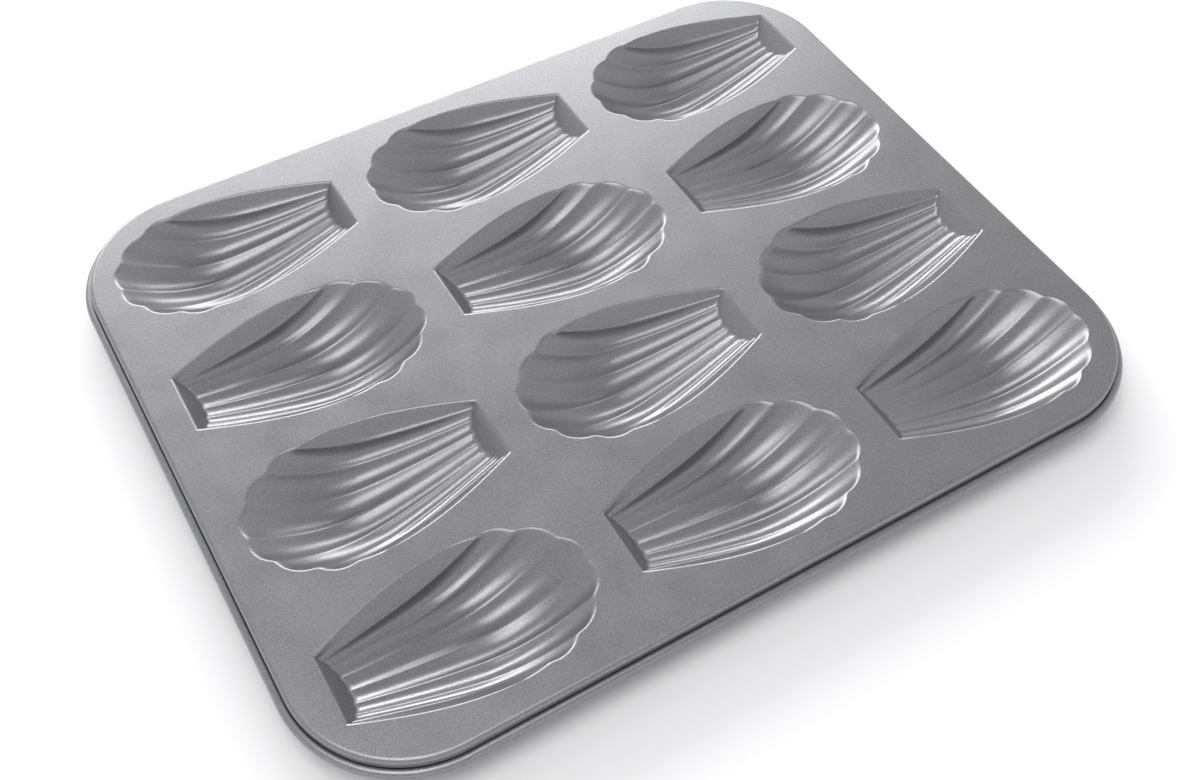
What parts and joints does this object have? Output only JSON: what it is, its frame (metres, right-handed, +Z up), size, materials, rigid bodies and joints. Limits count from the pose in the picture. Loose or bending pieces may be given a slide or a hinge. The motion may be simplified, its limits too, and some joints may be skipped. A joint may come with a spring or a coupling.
{
  "type": "madeleine pan",
  "caption": "Shallow metal baking pan with ribbed, shell-shaped cups in staggered rows, pressed into a flat deck with a turned-down, wire-edged rim.",
  "frame": {"origin": "centre of the pan in plan, level with the undersides of the cups that it stands on", "axes": "+X along the rows of cups, to the right as the picture shows it; +Y to the back; +Z up, out of the cups"},
  "size_m": [0.285, 0.2324, 0.0149],
  "materials": {
    "coated_sheet": "satin metallic grey non-stick coating",
    "wire": "plain drawn steel"
  },
  "bodies": {
    "root": {"deck": "coated_sheet", "cup_row1_left": "coated_sheet", "cup_row1_middle": "coated_sheet", "cup_row1_right": "coated_sheet", "cup_row2_left": "coated_sheet", "cup_row2_middle": "coated_sheet", "cup_row2_right": "coated_sheet", "cup_row3_left": "coated_sheet", "cup_row3_middle": "coated_sheet", "cup_row3_right": "coated_sheet", "cup_row4_left": "coated_sheet", "cup_row4_middle": "coated_sheet", "cup_row4_right": "coated_sheet", "rim_right": "coated_sheet", "rim_back": "coated_sheet", "rim_left": "coated_sheet", "rim_front": "coated_sheet", "corner_back_right": "coated_sheet", "corner_back_left": "coated_sheet", "corner_front_left": "coated_sheet", "corner_front_right": "coated_sheet", "rim_wire": "wire"}
  },
  "joints": []
}
